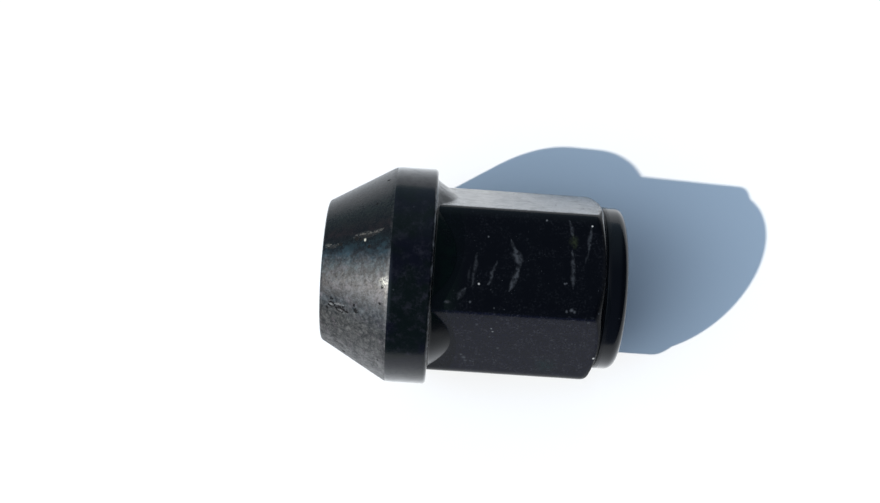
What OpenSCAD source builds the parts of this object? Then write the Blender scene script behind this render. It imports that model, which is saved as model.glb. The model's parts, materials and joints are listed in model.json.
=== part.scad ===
// Closed-end lug nut: conical seat, round collar, wrench hex and a short button end.
// Forged and turned in one piece, with a blind thread for the wheel stud.
// It lies on its side with one flat down, on the collar's rim and the flat's far end.

/* [Thread] */
// Nominal diameter of the stud's thread
thread_d = 12; // [10:0.5:14]
// Pitch of the thread, which sets the bore at its crests
thread_pitch = 1.5; // [1:0.25:1.75]
// How far the countersink stands out past the thread on each side
countersink_margin = 0.6; // [0.2:0.1:1]
// Full angle of the countersink
countersink_angle = 90; // [60:5:120]
// Full angle of the drill point at the bottom of the bore
drill_angle = 120; // [90:1:140]
// Metal left between the drill point and the closed end
end_wall = 4; // [2:0.5:8]

/* [Seat and collar] */
// Width of the flat ring round the countersink
mouth_land = 1.3; // [0.8:0.1:2.5]
// Edge radius outside that ring
mouth_edge_r = 0.4; // [0.1:0.1:0.8]
// Full angle of the conical seat
seat_angle = 60; // [50:1:90]
// Diameter of the collar
collar_d = 24.4; // [23.5:0.1:30]
// Width of the collar's round band
collar_w = 4.55; // [2:0.05:7]
// Edge radius on the collar's hex side
collar_edge_r = 0.4; // [0.1:0.1:0.8]

/* [Wrench hex] */
// Width across the flats
hex_af = 19; // [17:0.1:20.5]
// Radius of its round corners
corner_r = 1.7; // [0.3:0.1:3]
// Width of the flat ledge between the collar's rim and the shoulder
collar_ledge = 0.9; // [0.5:0.1:1.2]
// Length of the conical shoulder that runs out onto the flats
shoulder_l = 2.4; // [1.5:0.1:4]
// Angle of the end chamfer, measured from the end plane
chamfer_angle = 22; // [10:1:40]
// How far inside the flats the chamfer starts
chamfer_inset = 0.3; // [0.05:0.05:0.5]

/* [Closed end] */
// Length of the whole nut
overall_l = 33; // [28:0.5:45]
// Height of the button past the hex
cap_h = 2.5; // [2.2:0.1:4]
// How far the button sits inside the flats
cap_inset = 0.3; // [0.1:0.05:1]
// Edge radius of the button's end face
cap_edge_r = 1; // [0.4:0.1:1.6]
// Chamfer at the button's foot, which leaves a crease against the hex
cap_crease = 0.4; // [0.1:0.1:0.5]

/* [Hidden] */
$fn = 120;
steel_black = "#1d1e21";
// Solids that join run into each other by this much
bury = 1;

// Bore, with lengths measured from the mouth along the nut's axis
bore_r = (thread_d - thread_pitch) / 2;
countersink_r = thread_d / 2 + countersink_margin;
countersink_l = (countersink_r - bore_r) / tan(countersink_angle / 2);
drill_point_l = bore_r / tan(drill_angle / 2);
bore_l = overall_l - end_wall - drill_point_l;

// Seat and collar
mouth_r = countersink_r + mouth_land;
collar_r = collar_d / 2;
seat_slope = seat_angle / 2;
seat_l = (collar_r - mouth_r) / tan(seat_slope);
collar_end = seat_l + collar_w;
// Where the mouth's edge radius leaves the ring and the cone
mouth_tangent = mouth_edge_r * tan((90 - seat_slope) / 2);

// Hex and shoulder
hex_sides = 6;
half_side_angle = 180 / hex_sides;
hex_r = hex_af / 2;
// The corners' arcs are centred this far from the axis and reach out this far
corner_centre = (hex_r - corner_r) / cos(half_side_angle);
hex_corner_r = corner_centre + corner_r;
// Those arcs stand out by this little, so that they cross the flats instead of just touching them
arc_overlap = 0.003;
hex_end = overall_l - cap_h;
chamfer_r = hex_r - chamfer_inset;
flat_end = hex_end - chamfer_inset * tan(chamfer_angle);
shoulder_r = collar_r - collar_ledge;
shoulder_end = collar_end + shoulder_l;
shoulder_taper = (shoulder_r - hex_r) / shoulder_l;

// Button
cap_r = hex_r - cap_inset;

// Tilt at which a line touches the collar's rim and a round edge (or a point) further along
function tilt_onto(along, out, edge_r) =
    let (dz = along - (collar_end - collar_edge_r), dr = out - (collar_r - collar_edge_r))
    asin((collar_edge_r - edge_r) / norm([dz, dr])) - atan2(dr, dz);
// It comes down first on the flat's end or on the button's edge
rest_tilt = min(
    tilt_onto(flat_end, hex_r, 0),
    tilt_onto(overall_l - cap_edge_r, cap_r - cap_edge_r, cap_edge_r));
// Height of the mouth's centre over the ground
rest_height = (collar_r - collar_edge_r) * cos(rest_tilt)
    + (collar_end - collar_edge_r) * sin(rest_tilt) + collar_edge_r;
// Reach of the lying nut in front of the mouth's centre and behind it
reach_front = (mouth_r - mouth_tangent) * sin(rest_tilt) + mouth_edge_r * (1 - cos(rest_tilt));
reach_back = (overall_l - cap_edge_r) * cos(rest_tilt)
    + (cap_r - cap_edge_r) * sin(rest_tilt) + cap_edge_r;
rest_shift = (reach_front - reach_back) / 2;

// Half section of the seat, the collar and the shoulder, with the mouth at y = 0
module seat_section() {
    polygon([
        [0, 0],
        [mouth_r - mouth_tangent, 0],
        [mouth_r + mouth_tangent * sin(seat_slope), mouth_tangent * cos(seat_slope)],
        [collar_r, seat_l],
        [collar_r, collar_end - collar_edge_r],
        [collar_r - collar_edge_r, collar_end],
        [shoulder_r, collar_end],
        [hex_r - bury * shoulder_taper, shoulder_end + bury],
        [0, shoulder_end + bury]
    ]);
    translate([mouth_r - mouth_tangent, mouth_edge_r]) circle(mouth_edge_r);
    translate([collar_r - collar_edge_r, collar_end - collar_edge_r]) circle(collar_edge_r);
}

// Hexagon with a round corner at +X: straight flats between the ends of the corners' arcs
module hex_outline() {
    corner_angles = [for (i = [0 : hex_sides - 1]) 2 * i * half_side_angle];
    polygon([for (a = corner_angles, turn = [-half_side_angle, half_side_angle])
        corner_centre * [cos(a), sin(a)] + corner_r * [cos(a + turn), sin(a + turn)]]);
    for (a = corner_angles)
        rotate(a) translate([corner_centre, 0]) rotate(180) circle(corner_r + arc_overlap);
}

// The hex up to the collar, with its far end chamfered
module wrench_hex() {
    hex_start = collar_end - bury;
    // The chamfer's cone is drawn out past the corners
    cone_r = hex_corner_r + bury;
    cone_start = hex_end - (cone_r - chamfer_r) * tan(chamfer_angle);
    intersection() {
        translate([0, 0, hex_start]) linear_extrude(hex_end - hex_start) hex_outline();
        rotate_extrude() polygon([
            [0, hex_start - bury],
            [cone_r, hex_start - bury],
            [cone_r, cone_start],
            [chamfer_r, hex_end],
            [0, hex_end]
        ]);
    }
}

// Half section of the button, with the hex's end at y = 0
module cap_section() {
    polygon([
        [0, -bury],
        [cap_r - cap_crease, -bury],
        [cap_r - cap_crease, 0],
        [cap_r, cap_crease],
        [cap_r, cap_h - cap_edge_r],
        [cap_r - cap_edge_r, cap_h],
        [0, cap_h]
    ]);
    translate([cap_r - cap_edge_r, cap_h - cap_edge_r]) circle(cap_edge_r);
}

// Countersink, bore and drill point
module stud_hole() {
    // The countersink's cone is drawn out in front of the mouth
    translate([0, 0, -bury]) cylinder(
        h = countersink_l + bury,
        r1 = countersink_r + bury * tan(countersink_angle / 2),
        r2 = bore_r);
    translate([0, 0, -bury]) cylinder(h = bore_l + bury, r = bore_r);
    translate([0, 0, bore_l]) cylinder(h = drill_point_l, r1 = bore_r, r2 = 0);
}

// The nut along its own axis, mouth at the bottom
module nut_on_axis() {
    difference() {
        union() {
            rotate_extrude() seat_section();
            wrench_hex();
            translate([0, 0, hex_end]) rotate_extrude() cap_section();
        }
        stud_hole();
    }
}

// Turned to bring a flat down, then laid on the ground
module lug_nut() {
    color(steel_black)
        translate([rest_shift, 0, rest_height]) rotate([0, 90 + rest_tilt, 0])
            rotate(half_side_angle) nut_on_axis();
}

lug_nut();
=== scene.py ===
"""A black closed-end lug nut in the sun on a white floor: its thread, worn finishes, light and camera."""

import json
import math

import bmesh
import bpy
import numpy as np
from mathutils import Matrix, Vector, noise
from mathutils.bvhtree import BVHTree


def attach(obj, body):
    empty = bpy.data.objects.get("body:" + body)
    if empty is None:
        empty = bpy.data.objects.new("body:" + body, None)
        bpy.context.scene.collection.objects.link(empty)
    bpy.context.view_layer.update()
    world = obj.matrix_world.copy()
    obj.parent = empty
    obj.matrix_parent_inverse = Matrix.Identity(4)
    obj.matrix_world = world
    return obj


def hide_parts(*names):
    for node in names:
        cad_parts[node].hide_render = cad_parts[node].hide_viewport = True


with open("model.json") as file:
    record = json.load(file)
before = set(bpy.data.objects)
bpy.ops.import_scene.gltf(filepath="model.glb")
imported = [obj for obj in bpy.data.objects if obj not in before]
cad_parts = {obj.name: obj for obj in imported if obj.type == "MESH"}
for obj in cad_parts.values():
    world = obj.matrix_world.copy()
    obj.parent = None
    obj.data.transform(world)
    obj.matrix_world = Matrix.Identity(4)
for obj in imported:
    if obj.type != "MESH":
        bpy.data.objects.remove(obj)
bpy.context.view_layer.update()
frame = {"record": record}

# Lengths below are in millimetres and scene units are metres
MM = 0.001

# The stud's hole gives the nut's axis, from the open mouth to the closed end
stud_hole = next(m for m in frame["record"]["mounts"] if m["name"] == "stud_thread")
along_axis = -Vector(stud_hole["axis"])
bore_r = stud_hole["dims"]["r_mm"]
bore_wall_l = stud_hole["dims"]["length_mm"]
# The countersink opens at 90 degrees, so it is as deep as it stands out past the bore
countersink_r = 6.6
countersink_l = countersink_r - bore_r
bore_end = countersink_l + bore_wall_l
drill_half_angle = math.radians(60)
mouth_centre = Vector(stud_hole["pos_m"]) - along_axis * (countersink_l + bore_wall_l / 2) * MM

# In the nut's own frame Z runs along it, X out of the flat that is down and Y to the back
toward_floor = Vector((0, 1, 0)).cross(along_axis)
nut_to_world = Matrix.Translation(mouth_centre) @ Matrix(
    (toward_floor, along_axis.cross(toward_floor), along_axis)).transposed().to_4x4()

# Camera: its place, what it looks at, the picture's turn, its lens and sensor, and how near it sees
camera_place = Vector((12.69, -32.08, 138.07))
camera_aim = Vector((-3.75, 2.98, 12.0))
picture_turn = math.radians(3.48)
camera_lens = 47.045
camera_sensor_w = 36
camera_nearest = 5
# Size of the picture in pixels, which are counted from its top left corner
picture_w = 880
picture_h = 503

# Outer form: the solid's sizes, apart from softer edges, the shoulder's foot and the crease.
# An edge's size is how far it is rounded each way
mouth_r = 7.9
mouth_edge = 0.23
seat_half_angle = math.radians(30)
seat_edge = 0.45
collar_r = 12.2
seat_l = (collar_r - mouth_r) / math.tan(seat_half_angle)
collar_w = 4.55
collar_end = seat_l + collar_w
collar_edge = 0.4
shoulder_l = 2.4
shoulder_foot_r = 10.8
# Forging left the shoulder's foot off centre by this much, in this direction
foot_offset = 0.3
foot_offset_angle = math.radians(75)
hex_r = 9.5
hex_corner_round = 1.7
# The shoulder stands out past the hex's corners by at least this much
corner_clearance = 0.04
chamfer_r = 9.2
chamfer_angle = math.radians(22)
# The chamfer's outer edge is rounded by this share of the chamfer, up to this length
chamfer_edge_share = 0.45
chamfer_edge_max = 0.7
overall_l = 33.0
button_h = 2.5
hex_end = overall_l - button_h
button_r = 9.2
button_edge = 1.0
# Paint has filled half of the crease at the button's foot
crease_depth = 0.2

# Thread, cut outward from the bore
thread_pitch = 1.5
thread_root_r = 6.0
thread_end = 22.5

# Columns of the mesh, which go round the nut, and the finishes along it
sides = 6
flat_columns = 40
corner_columns = 8
finishes = ("thread_finish", "seat_finish", "collar_finish", "shoulder_finish", "hex_finish", "button_finish")


def hex_columns():
    """Points round the wrench hex: equal steps across each flat, then an arc round each corner."""
    arc_centre = (hex_r - hex_corner_round) / math.cos(math.pi / sides)
    half_flat = arc_centre * math.sin(math.pi / sides)
    points = []
    for side in range(sides):
        turn = Matrix.Rotation(side * math.tau / sides, 2)
        for step in range(flat_columns):
            points.append(turn @ Vector((hex_r, half_flat * (2 * step / flat_columns - 1))))
        for step in range(corner_columns):
            bend = math.tau / sides * step / corner_columns
            points.append(turn @ Vector((
                hex_r - hex_corner_round + hex_corner_round * math.cos(bend),
                half_flat + hex_corner_round * math.sin(bend))))
    return np.array(points)


columns = hex_columns()
column_angle = np.unwrap(np.arctan2(columns[:, 1], columns[:, 0]))
hex_reach = np.hypot(columns[:, 0], columns[:, 1])
chamfer_start = hex_end - (hex_reach - chamfer_r) * math.tan(chamfer_angle)

# The shoulder's foot at each column
shoulder_foot = shoulder_foot_r + foot_offset * np.cos(column_angle - foot_offset_angle)
shoulder_foot = np.maximum(shoulder_foot, hex_reach + corner_clearance)


def outer_corners():
    """Corners of the outer section, with setback, rows of the arc, rows that follow and their finish."""
    run_out = collar_end + shoulder_l * (shoulder_foot - hex_reach) / (shoulder_foot - hex_r)
    shoulder_round = 0.3 * np.hypot(shoulder_foot - hex_reach, run_out - collar_end)[:, None]
    chamfer_w = np.hypot(hex_reach - chamfer_r, hex_end - chamfer_start)[:, None]
    chamfer_round = np.minimum(chamfer_edge_share * chamfer_w, chamfer_edge_max)
    return (
        (countersink_r, 0, 0, 0, 5, "seat_finish"),
        (mouth_r, 0, mouth_edge, 6, 46, "seat_finish"),
        (collar_r, seat_l, seat_edge, 6, 16, "collar_finish"),
        (collar_r, collar_end, collar_edge, 7, 4, "collar_finish"),
        (shoulder_foot, collar_end, np.minimum(shoulder_round, 0.2), 3, 10, "shoulder_finish"),
        (hex_reach, run_out, np.minimum(shoulder_round, 0.12), 3, 44, "hex_finish"),
        (hex_reach, chamfer_start, chamfer_round, 5, 6, "hex_finish"),
        (chamfer_r, hex_end, 0.04, 2, 2, "hex_finish"),
        (button_r - crease_depth, hex_end, 0.14, 4, 2, "button_finish"),
        (button_r, hex_end + crease_depth, 0.1, 3, 6, "button_finish"),
        (button_r, overall_l, button_edge, 12, 16, "button_finish"),
        (0, overall_l, 0, 0, 0, "button_finish"),
    )


def rounded_rows(corners):
    """Rows of (radius, place) for every column, with an arc at each corner, and each row's finish."""
    points = [np.stack(np.broadcast_arrays(c[0], c[1], hex_reach)[:2], axis=-1) for c in corners]
    rows = [points[0]]
    row_finishes = []
    leaving = points[0]
    for i in range(1, len(corners)):
        setback, arc_rows = corners[i][2:4]
        stretch_rows, finish = corners[i - 1][4:6]
        back = points[i] - points[i - 1]
        back /= np.linalg.norm(back, axis=-1, keepdims=True)
        arriving = points[i] - back * setback
        for step in range(1, stretch_rows + 1):
            rows.append(leaving + (arriving - leaving) * step / stretch_rows)
            row_finishes.append(finish)
        if i + 1 == len(corners):
            break
        ahead = points[i + 1] - points[i]
        ahead /= np.linalg.norm(ahead, axis=-1, keepdims=True)
        leaving = points[i] + ahead * setback
        # A circular arc as a rational curve, weighted by the cosine of half the turn
        weight = np.sqrt((1 + np.sum(back * ahead, axis=-1, keepdims=True)) / 2)
        for step in range(1, arc_rows + 1):
            t = step / arc_rows
            shares = ((1 - t) ** 2, 2 * t * (1 - t) * weight, t ** 2)
            rows.append((shares[0] * arriving + shares[1] * points[i] + shares[2] * leaving) / sum(shares))
            row_finishes.append(finish if t <= 0.5 else corners[i][5])
    return np.array(rows), row_finishes


def thread_rows():
    """Rows of the helix from the countersink to where the thread runs out, and how many make one turn."""
    flank_share = (thread_root_r - bore_r) * math.tan(math.pi / 6) / thread_pitch
    root_share = 1 / 8
    crest_share = 1 - 2 * flank_share - root_share
    # Shares of the pitch at which the section has a point, with its height there
    section = (
        (0, 0),
        (crest_share, 0),
        (crest_share + flank_share / 2, 0.5),
        (crest_share + flank_share, 1),
        (crest_share + flank_share + root_share, 1),
        (1 - flank_share / 2, 0.5),
    )
    turns = math.ceil(thread_end / thread_pitch) + 3
    rows = []
    for turn in range(-1, turns):
        for share, height in section:
            place = thread_pitch * (turn + share + column_angle / math.tau)
            place = np.clip(place, 0, thread_end)
            run_out = np.clip((thread_end - place) / thread_pitch, 0, 1)
            radius = bore_r + (thread_root_r - bore_r) * height * run_out
            rows.append(np.stack((np.maximum(radius, countersink_r - place), place), axis=-1))
    return np.array(rows), len(section)


def bore_bottom_rows():
    """Rows from the end of the thread to the tip of the drill point."""
    tip = bore_end + bore_r / math.tan(drill_half_angle)
    section = [(bore_r, thread_end + (bore_end - thread_end) * t) for t in (0, 0.5, 1)]
    section += [(bore_r * (1 - t), bore_end + (tip - bore_end) * t) for t in (0.25, 0.5, 0.75, 1)]
    return np.array([np.tile(point, (len(column_angle), 1)) for point in section])


# Dents in the seat: place along the axis, angle round it, width across and depth
seat_dents = (
    (2.3, 218.4, 0.9, 0.18),
    (1.5, 216.5, 0.6, 0.10),
    (1.9, 221.0, 0.5, 0.08),
    (3.5, 218.8, 0.4, 0.06),
    (4.0, 219.7, 0.6, 0.12),
    (6.3, 221.5, 0.8, 0.06),
    (4.6, 175.6, 0.5, 0.05),
    (1.0, 175.5, 0.5, 0.05),
    (6.4, 250, 0.8, 0.06),
    (3.1, 292, 0.9, 0.08),
    (5.2, 330, 0.7, 0.06),
    (2.4, 20, 0.8, 0.07),
    (4.8, 64, 0.7, 0.06),
    (3.3, 115, 0.6, 0.05),
)
# Forging leaves the surface uneven by this much, in waves of this many to the millimetre
forging_depth = 0.02
forging_waves = 0.35


def on_seat(place, angle):
    """Point on the conical seat at this place along the axis and this angle in degrees."""
    radius = mouth_r + place * math.tan(seat_half_angle)
    turn = math.radians(angle)
    return Vector((radius * math.cos(turn), radius * math.sin(turn), place))


def turned_points(rows):
    """Points in millimetres from rows of (radius, place along the axis)."""
    radius, place = rows[..., 0], rows[..., 1]
    points = np.stack((radius * np.cos(column_angle), radius * np.sin(column_angle), place), axis=-1)
    return points.reshape(-1, 3)


def worn_points(rows):
    """The outer points, sunk a little by forging and by dents in the seat."""
    points = turned_points(rows)
    waves = np.array([noise.noise(Vector(p) * forging_waves) for p in points])
    sink = (waves * 0.5 + 0.5) * forging_depth
    for place, angle, width, depth in seat_dents:
        gap = np.linalg.norm(points - on_seat(place, angle), axis=1) / (width / 2)
        sink += depth * np.exp(-gap ** 2)
    reach = np.linalg.norm(points[:, :2], axis=1)
    # The closed end's middle and the mouth's ring stay where they are
    sink *= np.clip(reach / 2, 0, 1) * np.clip(points[:, 2] / 0.5, 0, 1)
    points[:, :2] *= (1 - sink / np.maximum(reach, 1e-6))[:, None]
    return points


def edge_gaps(rows):
    """Distance of each outer point from the nearest edge that rubs, in millimetres."""
    edges = ((mouth_r, 0), (collar_r, seat_l), (collar_r, collar_end), (hex_reach, chamfer_start))
    return np.min([np.hypot(rows[..., 0] - r, rows[..., 1] - s) for r, s in edges], axis=0).ravel()


def grid_faces(first, rows, turn_rows=0):
    """Quads between rows of columns; a helix joins its last column to a row further on."""
    count = len(column_angle)
    faces = []
    for row in range(rows - 1):
        for column in range(count):
            wrap = column + 1 == count
            here = first + row * count + column
            there = first + (row + (turn_rows if wrap else 0)) * count + (column + 1) % count
            if there + count < first + rows * count:
                faces.append((here, there, there + count, here + count))
    return faces


def make_lug_nut():
    """The nut as one closed mesh, with its thread, laid where the solid lies, and that mesh's surface."""
    outer, outer_finishes = rounded_rows(outer_corners())
    thread, turn_rows = thread_rows()
    bottom = bore_bottom_rows()
    points = [worn_points(outer), turned_points(thread), turned_points(bottom)]
    starts = np.cumsum([0] + [len(p) for p in points])
    faces = grid_faces(0, len(outer))
    slots = [finishes.index(f) for f in outer_finishes for _ in column_angle]
    faces += grid_faces(starts[1], len(thread), turn_rows) + grid_faces(starts[2], len(bottom))
    slots += [finishes.index("thread_finish")] * (len(faces) - len(slots))
    places = np.concatenate(points)
    # No edge rubs inside the bore
    far_from_edges = 9.0
    gaps = np.full(len(places), far_from_edges)
    gaps[:starts[1]] = edge_gaps(outer)

    mesh = bpy.data.meshes.new("lug_nut_dressed")
    mesh.from_pydata((places * MM).tolist(), [], faces)
    mesh.attributes.new("nut_place", "FLOAT_VECTOR", "POINT").data.foreach_set("vector", places.ravel())
    mesh.attributes.new("edge_gap", "FLOAT", "POINT").data.foreach_set("value", gaps)
    mesh.polygons.foreach_set("material_index", slots)
    mesh.polygons.foreach_set("use_smooth", [True] * len(faces))

    sharp_turn = math.radians(40)
    weld_gap = 0.0005
    form = bmesh.new()
    form.from_mesh(mesh)
    bmesh.ops.remove_doubles(form, verts=form.verts, dist=weld_gap * MM)
    bmesh.ops.recalc_face_normals(form, faces=form.faces)
    for edge in form.edges:
        edge.smooth = edge.calc_face_angle(0) < sharp_turn
    form.transform(nut_to_world)
    form.to_mesh(mesh)
    surface = BVHTree.FromBMesh(form)
    form.free()

    nut = bpy.data.objects.new("lug_nut_dressed", mesh)
    bpy.context.scene.collection.objects.link(nut)
    return nut, surface


def camera_axes():
    """Directions to the right in the picture, up it and back toward the camera."""
    back = (camera_place - camera_aim).normalized()
    right = Vector((-math.sin(picture_turn), math.cos(picture_turn), 0)).cross(back).normalized()
    return right, back.cross(right), back


def seen_on_nut(pixel):
    """Place on the nut, in millimetres in its own frame, that the picture shows at this pixel."""
    right, up, back = camera_axes()
    across = pixel[0] - picture_w / 2
    down = pixel[1] - picture_h / 2
    depth = picture_w * camera_lens / camera_sensor_w
    sight = right * across - up * down - back * depth
    hit = nut_surface.ray_cast(camera_place * MM, sight.normalized())[0]
    return nut_to_world.inverted() @ hit / MM


# The colour that a cloud swings about
cloud_middle = (0.5, 0.5, 0.5)


class Nodes:
    """Adds nodes to one node tree. Most methods give back the socket that the new node puts out."""

    def __init__(self, tree):
        self.tree = tree

    def feed(self, socket, value):
        """Links another node's socket or sets a plain value."""
        if isinstance(value, bpy.types.NodeSocket):
            self.tree.links.new(value, socket)
        else:
            socket.default_value = value

    def add(self, kind, inputs=(), out=0, **settings):
        made = self.tree.nodes.new("ShaderNode" + kind)
        for name, value in settings.items():
            setattr(made, name, value)
        for name, value in dict(inputs).items():
            self.feed(made.inputs[name], value)
        return made.outputs[out]

    def maths(self, operation, *values):
        return self.add("Math", enumerate(values), operation=operation)

    def vectors(self, operation, *values, out="Vector"):
        return self.add("VectorMath", enumerate(values), out=out, operation=operation)

    def stretch(self, vector, scale):
        return self.add("VectorMath", {0: vector, "Scale": scale}, operation="SCALE")

    def ramp(self, value, low, high, first=0.0, last=1.0):
        """A smooth step from first to last while the value goes from low to high."""
        inputs = {"Value": value, "From Min": low, "From Max": high, "To Min": first, "To Max": last}
        return self.add("MapRange", inputs, interpolation_type="SMOOTHSTEP")

    def blend(self, share, first, second):
        """Two colours mixed by the second one's share."""
        made = self.tree.nodes.new("ShaderNodeMix")
        made.data_type = "RGBA"
        for index, value in ((0, share), (6, first), (7, second)):
            self.feed(made.inputs[index], value)
        return made.outputs[2]

    def lay(self, share, first, second):
        """Two values mixed by the second one's share."""
        made = self.tree.nodes.new("ShaderNodeMix")
        for index, value in ((0, share), (2, first), (3, second)):
            self.feed(made.inputs[index], value)
        return made.outputs[0]

    def cloud(self, position, scale, detail=3.0, roughness=0.55, out="Fac"):
        inputs = {"Vector": position, "Scale": scale, "Detail": detail, "Roughness": roughness}
        return self.add("TexNoise", inputs, out=out)

    def shift(self, position, scale, reach):
        """The position moved about by a cloud, up to half this reach each way."""
        push = self.vectors("SUBTRACT", self.cloud(position, scale, out="Color"), cloud_middle)
        return self.vectors("ADD", position, self.vectors("MULTIPLY", push, (reach, reach, reach)))

    def bands(self, value, stops):
        """Colours along a value from 0 to 1, as (place, colour) in order."""
        made = self.tree.nodes.new("ShaderNodeValToRGB")
        elements = made.color_ramp.elements
        elements[0].position = stops[0][0]
        elements[1].position = stops[-1][0]
        for place, _ in stops[1:-1]:
            elements.new(place)
        for element, (_, colour) in zip(elements, stops):
            element.color = colour
        self.feed(made.inputs["Fac"], value)
        return made.outputs["Color"]

    def cells(self, position, scale):
        """Distance from the nearest of many scattered points, and a random number for that point."""
        made = self.tree.nodes.new("ShaderNodeTexVoronoi")
        self.feed(made.inputs["Vector"], position)
        self.feed(made.inputs["Scale"], scale)
        chance = self.add("SeparateColor", {"Color": made.outputs["Color"]}, out="Red")
        return made.outputs["Distance"], chance

    def place(self, group, **inputs):
        """All the sockets that a node group with these inputs puts out."""
        made = self.tree.nodes.new("ShaderNodeGroup")
        made.node_tree = group
        for name, value in inputs.items():
            self.feed(made.inputs[name], value)
        return made.outputs


def new_group(name, inputs, outputs):
    """A shader node group with its sockets, the writer for its nodes, its inputs and its output node."""
    group = bpy.data.node_groups.new(name, "ShaderNodeTree")
    for direction, sockets in (("INPUT", inputs), ("OUTPUT", outputs)):
        for socket_name, kind in sockets:
            group.interface.new_socket(socket_name, in_out=direction, socket_type="NodeSocket" + kind)
    start = group.nodes.new("NodeGroupInput")
    end = group.nodes.new("NodeGroupOutput")
    return group, Nodes(group), start.outputs, end.inputs


def make_coating_grain():
    """Grain of a baked coating over forged steel: fine height, slow mottle and a dusting of pale grains."""
    group, n, given, result = new_group(
        "coating_grain",
        (("Position", "Vector"), ("Grain", "Float")),
        (("Height", "Float"), ("Mottle", "Float"), ("Dusting", "Float")))
    n.feed(result["Height"], n.cloud(given["Position"], given["Grain"], detail=4.0, roughness=0.6))
    mottle = n.ramp(n.cloud(given["Position"], 0.7, detail=5.0, roughness=0.6), 0.3, 0.7)
    n.feed(result["Mottle"], mottle)
    grains = n.ramp(n.cloud(given["Position"], 3.6, detail=4.0, roughness=0.7), 0.48, 0.72)
    n.feed(result["Dusting"], n.maths("MULTIPLY", grains, n.ramp(mottle, 0.15, 0.8)))
    return group


def make_flecks():
    """Small flecks of uneven size, scattered with no pattern."""
    group, n, given, result = new_group(
        "flecks",
        (("Position", "Vector"), ("Density", "Float"), ("Share", "Float"), ("Size", "Float")),
        (("Mark", "Float"),))
    gap, chance = n.cells(n.shift(given["Position"], 5.0, 0.25), given["Density"])
    size = n.ramp(chance, n.maths("SUBTRACT", 1.0, given["Share"]), 1.0, 0.0, given["Size"])
    n.feed(result["Mark"], n.ramp(n.maths("SUBTRACT", gap, size), 0.0, -0.1))
    return group


def make_edge_wear():
    """Where the coating is rubbed through along the edges: in places only, and ragged."""
    group, n, given, result = new_group(
        "edge_wear",
        (("Position", "Vector"), ("Reach", "Float"), ("Share", "Float")),
        (("Worn", "Float"),))
    gap = n.add("Attribute", out="Fac", attribute_name="edge_gap")
    ragged = n.cloud(given["Position"], 3.0, detail=5.0, roughness=0.7)
    near = n.ramp(n.maths("ADD", n.maths("DIVIDE", gap, given["Reach"]), ragged), 1.25, 0.4)
    limit = n.maths("SUBTRACT", 0.75, n.maths("MULTIPLY", given["Share"], 0.5))
    places = n.ramp(n.cloud(given["Position"], 0.45, detail=2.0), limit, n.maths("ADD", limit, 0.12))
    n.feed(result["Worn"], n.maths("MULTIPLY", near, places))
    return group


def make_scuff():
    """One smear along a line in the nut's own frame: wavy, uneven in width and broken up."""
    group, n, given, result = new_group(
        "scuff",
        (("Position", "Vector"), ("Start", "Vector"), ("End", "Vector"), ("Width", "Float")),
        (("Mark", "Float"),))
    place = n.vectors("SUBTRACT", n.shift(given["Position"], 0.9, 0.6), given["Start"])
    run = n.vectors("SUBTRACT", given["End"], given["Start"])
    share = n.maths("DIVIDE", n.vectors("DOT_PRODUCT", place, run, out="Value"),
                    n.vectors("DOT_PRODUCT", run, run, out="Value"))
    share = n.add("Clamp", {"Value": share})
    gap = n.vectors("DISTANCE", place, n.stretch(run, share), out="Value")
    taper = n.maths("MULTIPLY", n.maths("MULTIPLY", share, n.maths("SUBTRACT", 1.0, share)), 4.0)
    width = n.maths("MULTIPLY", given["Width"], n.lay(taper, 0.35, 1.0))
    patchy = n.ramp(n.cloud(given["Position"], 2.2, detail=5.0, roughness=0.7), 0.36, 0.6, 0.15, 1.0)
    n.feed(result["Mark"], n.maths("MULTIPLY", n.ramp(gap, width, 0.0), patchy))
    return group


def make_smudge():
    """One ragged spot."""
    group, n, given, result = new_group(
        "smudge",
        (("Position", "Vector"), ("Centre", "Vector"), ("Size", "Float")),
        (("Mark", "Float"),))
    push = n.vectors("SUBTRACT", n.cloud(given["Position"], 1.8, out="Color"), cloud_middle)
    place = n.vectors("ADD", given["Position"], n.stretch(push, given["Size"]))
    gap = n.vectors("DISTANCE", place, given["Centre"], out="Value")
    n.feed(result["Mark"], n.ramp(gap, given["Size"], 0.0))
    return group


coating_grain = make_coating_grain()
flecks = make_flecks()
edge_wear = make_edge_wear()
scuff = make_scuff()
smudge = make_smudge()


def new_finish(name, ior):
    """A material with its writer, its shader's inputs and the place on the nut in millimetres."""
    material = bpy.data.materials.new(name)
    material.use_nodes = True
    n = Nodes(material.node_tree)
    inputs = material.node_tree.nodes["Principled BSDF"].inputs
    inputs["IOR"].default_value = ior
    position = n.add("Attribute", out="Vector", attribute_name="nut_place")
    return material, n, inputs, position


def lacquer(inputs, ior, roughness):
    """A second thin layer, which shines at a glancing angle."""
    inputs["Coat Weight"].default_value = 1.0
    inputs["Coat IOR"].default_value = ior
    inputs["Coat Roughness"].default_value = roughness


def bump(n, inputs, height, depth):
    """Feeds a height to the shader as a bump this many millimetres deep."""
    n.feed(inputs["Normal"], n.add("Bump", {"Strength": 1.0, "Distance": depth * MM, "Height": height}))


def fleck_marks(n, position, density, share, size):
    """Mask of scattered flecks."""
    return n.place(flecks, Position=position, Density=density, Share=share, Size=size)["Mark"]


def scuff_mark(n, position, start, end, width):
    """Mask of one smear."""
    return n.place(scuff, Position=position, Start=start, End=end, Width=width)["Mark"]


def smudge_mark(n, position, centre, size):
    """Mask of one ragged spot."""
    return n.place(smudge, Position=position, Centre=centre, Size=size)["Mark"]


def most(n, marks):
    """The strongest of several marks at each place."""
    strongest = marks[0]
    for mark in marks[1:]:
        strongest = n.maths("MAXIMUM", strongest, mark)
    return strongest


def edge_gap(n):
    """Distance from the nearest edge that rubs, in millimetres."""
    return n.add("Attribute", out="Fac", attribute_name="edge_gap")


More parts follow.
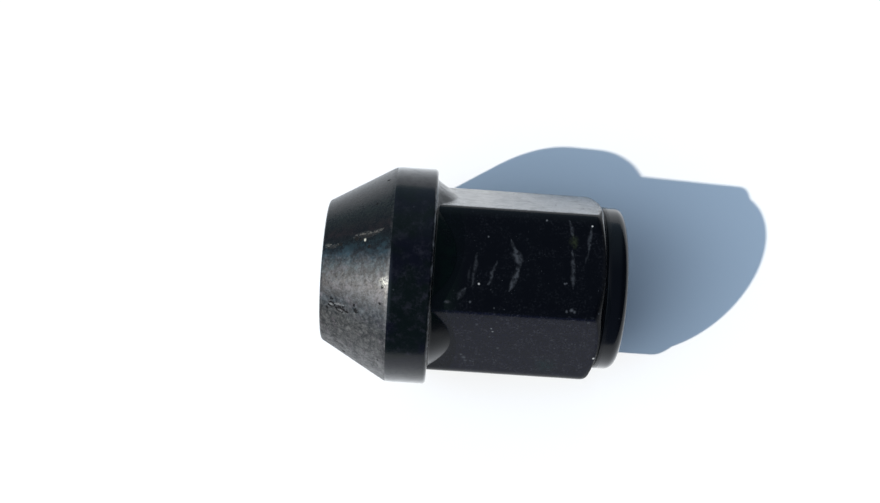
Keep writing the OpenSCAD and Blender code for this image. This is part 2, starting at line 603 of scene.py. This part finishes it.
def out_toward(n, position, angle):
    """How far out a place lies toward the flat that faces this way."""
    turn = math.radians(angle)
    return n.vectors("DOT_PRODUCT", position, (math.cos(turn), math.sin(turn), 0), out="Value")


def on_flat(n, position, angle):
    """Mask of the flat that faces this way."""
    return n.ramp(out_toward(n, position, angle), hex_r - flat_fade[0], hex_r - flat_fade[1])


# Colours of the coating, the dust and haze on it, the steel under it, and painted light and sheen on it
coating_black = (0.0008, 0.0009, 0.0018, 1)
coating_green = (0.0004, 0.0019, 0.001, 1)
shoulder_green_painted_light = (0.005, 0.012, 0.008, 1)
flat_green = (0.0018, 0.0042, 0.003, 1)
coating_blue = (0.0012, 0.0012, 0.004, 1)
coating_teal = (0.002, 0.012, 0.013, 1)
painted_violet_sheen = (0.003, 0.0035, 0.011, 1)
dust_black = (0.008, 0.0088, 0.0115, 1)
dust_and_violet_sheen = (0.032, 0.033, 0.043, 1)
haze_grey = (0.045, 0.044, 0.044, 1)
rubbed_grey = (0.041, 0.045, 0.052, 1)
rubbed_olive = (0.022, 0.028, 0.013, 1)
rubbed_ochre = (0.09, 0.083, 0.066, 1)
bare_steel = (0.45, 0.44, 0.42, 1)
bright_steel = (0.62, 0.6, 0.5, 1)
collar_mottle = (0.014, 0.014, 0.02, 1)
rim_grey = (0.12, 0.12, 0.12, 1)
thread_oil = (0.03, 0.028, 0.026, 1)
thread_steel = (0.2, 0.19, 0.18, 1)
# How strongly each finish reflects, and each thin layer on top
coating_ior = 1.26
shoulder_ior = 1.25
lacquer_ior = 1.21
seat_ior = 1.38
haze_ior = 1.7
shoulder_haze_ior = 1.45
burnish_ior = 1.5
# Flats by the way they face, in degrees round the axis from the one that is down
back_flat = 120
up_flat = 180
front_flat = 240
# A flat's own finish fades in between these depths below it
flat_fade = (0.06, 0.022)

# Smears on the flat that is up: ends as (along the axis, toward the back), width and strength
up_flat_scuffs = (
    ((20.1, 2.2), (20.7, 0.7), 0.3, 0.8),
    ((20.6, 1.1), (21.2, -0.5), 0.7, 1.2),
    ((21.2, -0.3), (20.9, -1.2), 0.3, 0.8),
    ((21.1, -0.8), (20.2, -3.5), 0.42, 1.2),
    ((18.7, -0.3), (17.9, -2.9), 0.28, 0.8),
    ((16.6, 0.6), (16.2, -3.2), 0.3, 0.6),
    ((15.9, -1.0), (15.7, -2.6), 0.25, 0.3),
    ((15.5, -3.5), (14.8, -4.7), 0.5, 0.7),
    ((26.3, 4.8), (26.8, 2.8), 0.28, 0.8),
    ((26.7, 1.4), (26.9, -2.7), 0.32, 0.9),
    ((28.7, 4.3), (28.4, 1.4), 0.32, 0.8),
    ((28.4, 1.4), (28.1, 0.0), 0.25, 0.3),
    ((13.3, -5.1), (14.1, -4.95), 0.3, 1.0),
)
# Specks on the hex: the pixel at which the picture shows each, its size and strength
hex_specks = (
    ((478.8, 284), 0.18, 5.0),
    ((488.4, 236.7), 0.16, 1.8),
    ((547, 220.4), 0.18, 2.2),
    ((470, 302), 0.2, 1.4),
    ((565, 283.7), 0.16, 1.6),
    ((592.4, 226.5), 0.18, 5.0),
    ((571.5, 310.5), 0.28, 1.3),
    ((491.4, 328.6), 0.2, 2.0),
    ((492.4, 331.6), 0.2, 2.2),
    ((477, 324.5), 0.26, 0.7),
    ((489.4, 336.7), 0.18, 0.9),
    ((497.5, 348), 0.2, 1.1),
    ((593.5, 358.6), 0.22, 6.0),
)
# Spots on the hex in the nut's own frame, with their size and strength
hex_spots = (
    ((-9.5, -2.2, 26.2), 0.14, 1.4),
    ((-9.35, -5.2, 26.3), 0.22, 1.0),
    ((-9.35, -5.2, 27.1), 0.24, 1.2),
    ((-2.9, -9.3, 15.7), 0.3, 0.9),
    ((-2.5, -9.5, 16.0), 0.35, 1.1),
    ((-2.0, -9.7, 16.2), 0.3, 1.0),
    ((-9.2, -5.2, 29.8), 0.22, 1.8),
    ((-8.7, -5.9, 29.9), 0.2, 1.5),
)
# Tinted marks: a smear from end to end with its width, and a smudge with its size
olive_smear = ((-hex_r, 3.2, 26.75), (-hex_r, 1.8, 26.9), 0.75)
teal_smudge = ((-2.0, -9.8, 25.0), 1.8)
# The pale strip at the upper back: a dark patch by the collar, a dent by its pixel, and a painted dark
# reflection along its far edge
strip_patch = ((-7.8, 7.0, 13.0), 2.0)
dent_pixel = (583, 209)
dent_size = 0.4
strip_edge_dark_reflection = ((-0.9, 10.45, 21.0), (-0.9, 10.45, 29.3), 0.4)


def hex_marks(n, position, reach):
    """Smears, spots, grit and dust on the flats. The strongest go down to bare steel."""
    dust = fleck_marks(n, position, 3.0, 0.5, 0.4)
    dust = n.maths("MULTIPLY", dust, n.ramp(n.cloud(position, 0.35), 0.4, 0.65, 0.1, 0.45))
    # Hardly any stays on the corners, and most lies on the flat that is up
    dust = n.maths("MULTIPLY", dust, n.ramp(reach, 10.1, 10.5, 1.0, 0.15))
    dust = n.maths("MULTIPLY", dust, n.lay(on_flat(n, position, up_flat), 1.0, 3.0))
    grit = fleck_marks(n, position, 1.3, 0.2, 0.25)
    marks = [n.maths("MULTIPLY", grit, 0.6), dust]
    for (along_a, back_a), (along_b, back_b), width, strength in up_flat_scuffs:
        smear = scuff_mark(n, position, (-hex_r, back_a, along_a), (-hex_r, back_b, along_b), width)
        marks.append(n.maths("MULTIPLY", smear, strength))
    for pixel, size, strength in hex_specks:
        marks.append(n.maths("MULTIPLY", smudge_mark(n, position, seen_on_nut(pixel), size), strength))
    for centre, size, strength in hex_spots:
        marks.append(n.maths("MULTIPLY", smudge_mark(n, position, centre, size), strength))
    return most(n, marks)


def strip_haze(n, position):
    """Haze on the pale strip, thin where that is pitted or rubbed and along its far edge as a painted dark
    reflection, and the height of its crust.
    """
    pits = fleck_marks(n, position, 1.6, 0.3, 0.3)
    patch = smudge_mark(n, position, *strip_patch)
    dent = smudge_mark(n, position, seen_on_nut(dent_pixel), dent_size)
    far_edge_dark_reflection = scuff_mark(n, position, *strip_edge_dark_reflection)
    bare = most(n, [
        n.maths("MULTIPLY", pits, 0.6),
        n.maths("MULTIPLY", patch, 0.8),
        dent,
        n.maths("MULTIPLY", far_edge_dark_reflection, 0.6),
    ])
    strip = on_flat(n, position, back_flat)
    crust = n.cloud(position, 1.1, detail=6.0, roughness=0.7)
    height = n.maths("MULTIPLY", strip, n.maths("SUBTRACT", crust, n.maths("MULTIPLY", bare, 0.3)))
    haze = n.maths("MULTIPLY", strip, n.lay(bare, n.ramp(crust, 0.3, 0.58, 0.55, 1.0), 0.1))
    return haze, height


def chamfer_haze(n, reach, along, toward_back):
    """The same haze where it wraps round onto the end chamfer, thinning out over the flat that is up."""
    slope = math.tan(chamfer_angle)
    chamfer_level = hex_end + chamfer_r * slope
    level = n.maths("MULTIPLY_ADD", reach, slope, along)
    on_chamfer = n.ramp(level, chamfer_level - 0.12, chamfer_level - 0.04)
    return n.maths("MULTIPLY", on_chamfer, n.ramp(toward_back, 0.5, 5.0))


def make_hex_finish():
    """Black flats with smears and specks, rubbed at the ends, pale with haze at the upper back."""
    material, n, inputs, position = new_finish("hex_finish", coating_ior)
    lacquer(inputs, haze_ior, 0.18)
    grain = n.place(coating_grain, Position=position, Grain=5.0)
    speckle = n.ramp(grain["Height"], 0.35, 0.65)
    parts = n.add("SeparateXYZ", {"Vector": position}).node.outputs
    reach = n.vectors("LENGTH", n.vectors("MULTIPLY", position, (1, 1, 0)), out="Value")
    marks = hex_marks(n, position, reach)
    worn = n.place(edge_wear, Position=position, Reach=0.35, Share=0.2)["Worn"]
    haze, crust_height = strip_haze(n, position)

    # Greenish by the collar, and a painted violet sheen with dust grains on the flat at the front, under the
    # haze and the marks
    colour = n.blend(n.ramp(parts["Z"], 15.6, 13.4), coating_black, flat_green)
    colour = n.blend(grain["Dusting"], colour, dust_black)
    front = n.maths("MULTIPLY", on_flat(n, position, front_flat), n.lay(speckle, 0.2, 1.0))
    colour = n.blend(front, colour, n.blend(grain["Dusting"], painted_violet_sheen, dust_and_violet_sheen))
    teal = smudge_mark(n, position, *teal_smudge)
    colour = n.blend(n.maths("MULTIPLY", teal, speckle), colour, coating_teal)
    colour = n.blend(haze, colour, haze_grey)
    olive = scuff_mark(n, position, *olive_smear)
    colour = n.blend(n.maths("MULTIPLY", olive, n.lay(speckle, 0.4, 1.0)), colour, rubbed_olive)
    lit = n.blend(n.ramp(marks, 1.0, 4.0), rubbed_grey, bare_steel)
    colour = n.blend(n.add("Clamp", {"Value": marks}), colour, lit)
    n.feed(inputs["Base Color"], n.blend(worn, colour, bare_steel))
    n.feed(inputs["Metallic"], worn)

    # Dull where it is marked, worn or close to an edge
    dull = n.add("Clamp", {"Value": n.maths("MAXIMUM", marks, worn)})
    dull = n.maths("MAXIMUM", dull, n.ramp(edge_gap(n), 0.6, 0.2))
    n.feed(inputs["Roughness"], n.lay(dull, n.lay(grain["Mottle"], 0.11, 0.16), 0.5))
    end_haze = chamfer_haze(n, reach, parts["Z"], parts["Y"])
    n.feed(inputs["Coat Weight"], n.maths("MAXIMUM", haze, end_haze))
    bump(n, inputs, n.maths("MULTIPLY_ADD", crust_height, 20.0, grain["Height"]), 0.008)
    return material


def make_shoulder_finish():
    """Run-out between the collar and the flats: dull black, as forged."""
    material, n, inputs, position = new_finish("shoulder_finish", shoulder_ior)
    lacquer(inputs, shoulder_haze_ior, 0.18)
    grain = n.place(coating_grain, Position=position, Grain=4.0)
    parts = n.add("SeparateXYZ", {"Vector": position}).node.outputs
    # Greenish at the top, and lighter there as painted light where the collar's shadow falls
    upper = n.maths("MULTIPLY", n.ramp(parts["X"], -6.8, -8.6), n.lay(grain["Mottle"], 1.0, 0.5))
    colour = n.blend(upper, coating_black, shoulder_green_painted_light)
    colour = n.blend(grain["Dusting"], colour, dust_black)
    # Hazy next to the pale strip
    dusty = n.ramp(n.cloud(position, 1.2, detail=6.0, roughness=0.75), 0.38, 0.6, 0.3, 1.0)
    haze = n.maths("MULTIPLY", n.ramp(out_toward(n, position, back_flat), hex_r - 0.5, hex_r - 0.1), dusty)
    haze = n.maths("MULTIPLY", haze, n.lay(smudge_mark(n, position, *strip_patch), 1.0, 0.15))
    colour = n.blend(haze, colour, haze_grey)
    marks = n.maths("MULTIPLY", fleck_marks(n, position, 1.6, 0.12, 0.2), 0.5)
    n.feed(inputs["Base Color"], n.blend(marks, colour, rubbed_grey))
    n.feed(inputs["Roughness"], n.lay(grain["Mottle"], 0.18, 0.26))
    # It shines low down at the front too
    low_front = n.maths("MULTIPLY", n.ramp(parts["X"], -6.0, -1.5), n.ramp(parts["Y"], -5.0, -7.0))
    n.feed(inputs["Coat Weight"], n.maths("MAXIMUM", haze, n.maths("MULTIPLY", low_front, 0.85)))
    bump(n, inputs, grain["Height"], 0.006)
    return material


def make_collar_finish():
    """Satin black with a faint mottle and a broken light line along its hex-side rim."""
    material, n, inputs, position = new_finish("collar_finish", lacquer_ior)
    lacquer(inputs, lacquer_ior, 0.15)
    grain = n.place(coating_grain, Position=position, Grain=5.0)
    colour = n.blend(n.ramp(n.cloud(position, 0.25), 0.42, 0.58), coating_green, coating_blue)
    patchy = n.ramp(n.cloud(position, 1.2, detail=6.0, roughness=0.65), 0.46, 0.7)
    colour = n.blend(n.maths("MULTIPLY", patchy, grain["Mottle"]), colour, collar_mottle)
    colour = n.blend(grain["Dusting"], colour, dust_black)
    marks = n.maths("MULTIPLY", fleck_marks(n, position, 1.6, 0.12, 0.2), 0.5)
    colour = n.blend(marks, colour, rubbed_grey)
    along = n.add("SeparateXYZ", {"Vector": position}, out="Z")
    rim = n.maths("MULTIPLY", n.ramp(edge_gap(n), 0.3, 0.18), n.ramp(along, collar_end - 1, collar_end - 0.8))
    broken = n.ramp(n.cloud(position, 0.8, detail=5.0, roughness=0.6), 0.38, 0.7)
    n.feed(inputs["Base Color"], n.blend(n.maths("MULTIPLY", rim, broken), colour, rim_grey))
    n.feed(inputs["Roughness"], n.lay(grain["Mottle"], 0.15, 0.2))
    n.feed(inputs["Coat Weight"], n.lay(n.maths("MAXIMUM", patchy, grain["Dusting"]), 1.0, 0.6))
    bump(n, inputs, grain["Height"], 0.008)
    return material


# Tints of the worn seat, by degrees round it from the top to the front. They are partly its worn colours and
# partly painted light: a painted highlight in the grey at 23 degrees, and painted sheen in the lighter stops
# at -62 and from 75 to 110 degrees, where the seat is seen at a glancing angle.
seat_tints_and_painted_sheen = (
    (-180, (0.008, 0.008, 0.008, 1)),
    (-62, (0.055, 0.055, 0.057, 1)),
    (-40, (0.004, 0.004, 0.005, 1)),
    (-24, (0.002, 0.005, 0.002, 1)),
    (-11, (0.007, 0.003, 0.003, 1)),
    (-5, (0.002, 0.006, 0.006, 1)),
    (4, (0.008, 0.026, 0.036, 1)),
    (13, (0.02, 0.036, 0.041, 1)),
    (23, (0.052, 0.05, 0.056, 1)),
    (35, (0.012, 0.02, 0.026, 1)),
    (47, (0.03, 0.029, 0.024, 1)),
    (75, (0.06, 0.059, 0.057, 1)),
    (110, (0.045, 0.045, 0.045, 1)),
    (180, (0.008, 0.008, 0.008, 1)),
)
# Marks along the seat, each as (place, degrees) from end to end and width.
# Raised flecks, and painted shadows of them as the dark streaks beside them
seat_flecks = (
    ((0.3, 175.4), (1.1, 174.6), 0.26),
    ((3.6, 171.4), (5.4, 171.2), 0.26),
    ((5.4, 171.2), (6.6, 170.0), 0.26),
)
seat_fleck_shadows = (
    ((0.4, 177.8), (1.9, 177.2), 0.4),
    ((3.4, 173.4), (6.2, 172.2), 0.4),
)
# Pits in the coating, and painted highlights on the rims beside them
seat_pits = (
    ((1.75, 219.2), (2.5, 220.4), 0.9),
    ((2.6, 220.6), (3.3, 220.6), 0.3),
    ((1.1, 217.6), (1.8, 217.8), 0.26),
    ((1.2, 214.6), (1.6, 214.2), 0.34),
    ((4.0, 217.2), (4.4, 219.4), 0.4),
    ((1.0, 219.6), (1.5, 220.8), 0.24),
    ((2.0, 222.4), (2.7, 222.9), 0.22),
    ((0.7, 222.0), (1.1, 223.5), 0.24),
    ((4.2, 175.8), (4.4, 175.2), 0.34),
)
pit_rim_highlights = (
    ((1.7, 217.8), (2.8, 217.6), 0.26),
    ((1.1, 218.6), (1.6, 219.2), 0.2),
    ((2.0, 221.6), (2.6, 222.1), 0.2),
)
# Dark bruise by the collar, a white speck and the bare part of the edge, with their sizes
seat_bruise = (on_seat(6.4, 219.5), 1.5)
white_speck = (on_seat(4.64, 175.6), 0.22)
bright_edge = (on_seat(7.1, 199.0), 0.9)
seat_black = (0.0015, 0.0015, 0.0015, 1)
seat_pale = (0.5, 0.5, 0.5, 1)
seat_rose = (0.06, 0.042, 0.052, 1)
bruise_blue = (0.006, 0.007, 0.013, 1)
pit_black = (0.0005, 0.0005, 0.0005, 1)
pit_rim_highlight_grey = (0.22, 0.22, 0.22, 1)
seat_edge_grey = (0.14, 0.14, 0.14, 1)


def seat_scuffs(n, position, runs):
    """One mark for each run along the seat."""
    return [scuff_mark(n, position, on_seat(*start), on_seat(*end), width) for start, end, width in runs]


def seat_turn(n, position):
    """Angle round the seat from the top to the front, made ragged so that no tint has a straight border."""
    parts = n.add("SeparateXYZ", {"Vector": n.shift(position, 0.7, 1.6)}).node.outputs
    return n.maths("ARCTAN2", n.maths("MULTIPLY", parts["Y"], -1.0), n.maths("MULTIPLY", parts["X"], -1.0))


def seat_tint(n, position, turn, front):
    """Colour of the worn coating with its bands of painted highlight and sheen, rosy in patches at the front
    and bruised by the collar.
    """
    stops = [(degrees / 360 + 0.5, colour) for degrees, colour in seat_tints_and_painted_sheen]
    tint = n.bands(n.maths("MULTIPLY_ADD", turn, 1 / math.tau, 0.5), stops)
    rosy = n.ramp(n.cloud(position, 0.8, detail=4.0), 0.5, 0.64, 0.0, 0.5)
    tint = n.blend(n.maths("MULTIPLY", rosy, front), tint, seat_rose)
    bruise = smudge_mark(n, position, *seat_bruise)
    return n.blend(n.maths("MULTIPLY", bruise, 0.8), tint, bruise_blue)


def rubbed_seat_edge(n, along, turn, thin, front):
    """Where the edge by the collar is rubbed: most at the front, hardly at all further under."""
    edge = n.maths("MULTIPLY", n.ramp(edge_gap(n), 0.4, 0.05), n.ramp(along, seat_l - 1, seat_l - 0.5))
    under = n.ramp(turn, math.radians(34), math.radians(52))
    coated_share = n.lay(under, n.lay(front, 0.0, 0.4), 0.0)
    thin_share = n.lay(under, n.lay(front, 0.2, 1.0), 0.2)
    return n.maths("MULTIPLY", edge, n.lay(thin, coated_share, thin_share))


def bare_spots(n, position):
    """Bare metal: shreds along part of the edge, and one speck."""
    shreds = n.ramp(n.cloud(position, 3.0, detail=4.0, roughness=0.7), 0.44, 0.6)
    edge = n.maths("MULTIPLY", smudge_mark(n, position, *bright_edge), shreds)
    return n.maths("MAXIMUM", edge, smudge_mark(n, position, *white_speck))


def make_seat_finish():
    """Seat burnished by the wheel toward the collar: coating worn thin, mottled and pitted."""
    material, n, inputs, position = new_finish("seat_finish", seat_ior)
    lacquer(inputs, burnish_ior, 0.38)
    grain = n.place(coating_grain, Position=position, Grain=3.0)
    along = n.add("SeparateXYZ", {"Vector": position}, out="Z")
    turn = seat_turn(n, position)
    thin = n.ramp(n.cloud(position, 1.3, detail=7.0, roughness=0.85), 0.4, 0.62)
    speckle = n.ramp(n.cloud(position, 3.5, detail=3.0, roughness=0.6), 0.36, 0.64)
    front = n.maths("MULTIPLY", n.ramp(turn, math.radians(-2), math.radians(14)),
                    n.ramp(turn, math.radians(172), math.radians(115)))

    pits = seat_scuffs(n, position, seat_pits)
    pits.append(fleck_marks(n, position, 1.1, 0.2, 0.3))
    pits = n.ramp(most(n, pits), 0.1, 0.5)
    # Sunk pits, and the painted shadows of the raised flecks
    sunk = n.maths("MAXIMUM", pits, most(n, seat_scuffs(n, position, seat_fleck_shadows)))
    rims = most(n, seat_scuffs(n, position, pit_rim_highlights))
    raised = most(n, seat_scuffs(n, position, seat_flecks))

    # The seat's tint, with its painted highlight and sheen bands
    tint = seat_tint(n, position, turn, front)
    pale = n.blend(0.1, tint, seat_pale)
    colour = n.blend(thin, seat_black, n.blend(n.maths("MULTIPLY", speckle, front), tint, pale))
    # Pits and the painted fleck shadows go black
    colour = n.blend(n.maths("MULTIPLY", sunk, 0.95), colour, pit_black)
    # Painted highlights on the pits' rims
    colour = n.blend(rims, colour, pit_rim_highlight_grey)
    edge = rubbed_seat_edge(n, along, turn, thin, front)
    colour = n.blend(n.maths("MULTIPLY", edge, 0.7), colour, seat_edge_grey)
    colour = n.blend(n.maths("MULTIPLY", raised, n.maths("MAXIMUM", thin, 0.3)), colour, rubbed_ochre)
    n.feed(inputs["Base Color"], n.blend(bare_spots(n, position), colour, bright_steel))

    rough = n.lay(front, n.lay(thin, 0.24, 0.34), n.lay(speckle, 0.38, 0.6))
    n.feed(inputs["Roughness"], n.lay(sunk, rough, 0.9))
    burnished = n.maths("MULTIPLY", n.ramp(along, 0.5, 7.4), front)
    n.feed(inputs["Coat Weight"], n.maths("MULTIPLY", burnished, n.lay(sunk, n.lay(thin, 0.25, 0.5), 0.0)))
    height = n.maths("ADD", n.maths("MULTIPLY", grain["Height"], 0.35), n.maths("SUBTRACT", raised, sunk))
    bump(n, inputs, height, 0.06)
    return material


def make_button_finish():
    """Closed end in a glossier black, with a few specks and a dull foot."""
    material, n, inputs, position = new_finish("button_finish", lacquer_ior)
    lacquer(inputs, lacquer_ior, 0.12)
    grain = n.place(coating_grain, Position=position, Grain=4.0)
    marks = fleck_marks(n, position, 1.2, 0.1, 0.14)
    n.feed(inputs["Base Color"], n.blend(marks, coating_black, rubbed_grey))
    along = n.add("SeparateXYZ", {"Vector": position}, out="Z")
    foot = n.ramp(along, hex_end + 0.8, hex_end + 0.3)
    n.feed(inputs["Roughness"], n.lay(foot, n.lay(grain["Mottle"], 0.14, 0.2), 0.55))
    bump(n, inputs, grain["Height"], 0.006)
    return material


def make_thread_finish():
    """Bore and thread: bare steel, dark with oil."""
    material, n, inputs, position = new_finish("thread_finish", coating_ior)
    grain = n.place(coating_grain, Position=position, Grain=4.0)
    n.feed(inputs["Base Color"], n.blend(grain["Mottle"], thread_oil, thread_steel))
    inputs["Metallic"].default_value = 1.0
    n.feed(inputs["Roughness"], n.lay(grain["Mottle"], 0.3, 0.5))
    bump(n, inputs, grain["Height"], 0.006)
    return material


# Floor: how far it reaches in front of the nut, behind it and to each side
floor_front = 80
floor_back = 400
floor_side = 300
floor_white = (0.93, 0.93, 0.93, 1)


def make_floor():
    """A white sheet under the nut, wider than the picture, that ends a little way in front."""
    front, back, side = -floor_front * MM, floor_back * MM, floor_side * MM
    mesh = bpy.data.meshes.new("floor")
    corners = [(-side, front, 0), (side, front, 0), (side, back, 0), (-side, back, 0)]
    mesh.from_pydata(corners, [], [(0, 1, 2, 3)])
    floor = bpy.data.objects.new("floor", mesh)
    bpy.context.scene.collection.objects.link(floor)
    material = bpy.data.materials.new("floor_white")
    material.use_nodes = True
    inputs = material.node_tree.nodes["Principled BSDF"].inputs
    inputs["Base Color"].default_value = floor_white
    inputs["Roughness"].default_value = 0.9
    inputs["Specular IOR Level"].default_value = 0.0
    mesh.materials.append(material)


# Sun: direction of travel over the floor, height above it, softness, strength and colour
sun_heading = math.radians(29)
sun_height = math.radians(42)
sun_softness = math.radians(0.8)
sun_strength = 3.7
sun_colour = (1.0, 0.93, 0.83)
# Sky: a dim blue, lighter behind the nut, darker beyond its closed end and pale round the sun
sky_front = (0.15, 0.21, 0.32, 1)
sky_back = (0.32, 0.45, 0.58, 1)
sky_right = (0.06, 0.09, 0.14, 1)
sky_glow = (1.0, 1.35, 1.75, 1)
glow_inner = math.radians(8)
glow_outer = math.radians(48)


def make_light():
    """The sun and a dim sky."""
    lamp = bpy.data.lights.new("sun", "SUN")
    lamp.energy = sun_strength
    lamp.angle = sun_softness
    lamp.color = sun_colour
    sun = bpy.data.objects.new("sun", lamp)
    bpy.context.scene.collection.objects.link(sun)
    travel = Vector((
        math.cos(sun_heading) * math.cos(sun_height),
        math.sin(sun_heading) * math.cos(sun_height),
        -math.sin(sun_height)))
    sun.rotation_euler = travel.to_track_quat("-Z", "Y").to_euler()

    world = bpy.data.worlds.new("sky")
    world.use_nodes = True
    bpy.context.scene.world = world
    n = Nodes(world.node_tree)
    direction = n.add("TexCoord", out="Generated")
    heading = n.add("SeparateXYZ", {"Vector": direction}).node.outputs
    colour = n.blend(n.ramp(heading["Y"], 0.1, 0.8), sky_front, sky_back)
    colour = n.blend(n.ramp(heading["X"], 0.1, 0.8), colour, sky_right)
    off_sun = n.vectors("DOT_PRODUCT", direction, -travel, out="Value")
    colour = n.blend(n.ramp(off_sun, math.cos(glow_outer), math.cos(glow_inner)), colour, sky_glow)
    # Seen directly, past the floor's far edge, the sky is as white as the floor
    colour = n.blend(n.add("LightPath", out="Is Camera Ray"), colour, (1, 1, 1, 1))
    background = world.node_tree.nodes["Background"]
    n.feed(background.inputs["Color"], colour)
    background.inputs["Strength"].default_value = 1.0


def make_camera():
    """The camera over the nut, a little in front of it."""
    lens = bpy.data.cameras.new("camera")
    lens.lens = camera_lens
    lens.sensor_width = camera_sensor_w
    lens.clip_start = camera_nearest * MM
    camera = bpy.data.objects.new("camera", lens)
    bpy.context.scene.collection.objects.link(camera)
    turn = Matrix(camera_axes()).transposed().to_4x4()
    camera.matrix_world = Matrix.Translation(camera_place * MM) @ turn
    bpy.context.scene.camera = camera


make_camera()
make_light()
make_floor()
nut, nut_surface = make_lug_nut()
# In the order of the list of finishes
for make_finish in (make_thread_finish, make_seat_finish, make_collar_finish,
                    make_shoulder_finish, make_hex_finish, make_button_finish):
    nut.data.materials.append(make_finish())
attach(nut, "root")
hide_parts("lug_nut")

bpy.context.scene.view_settings.view_transform = "Standard"
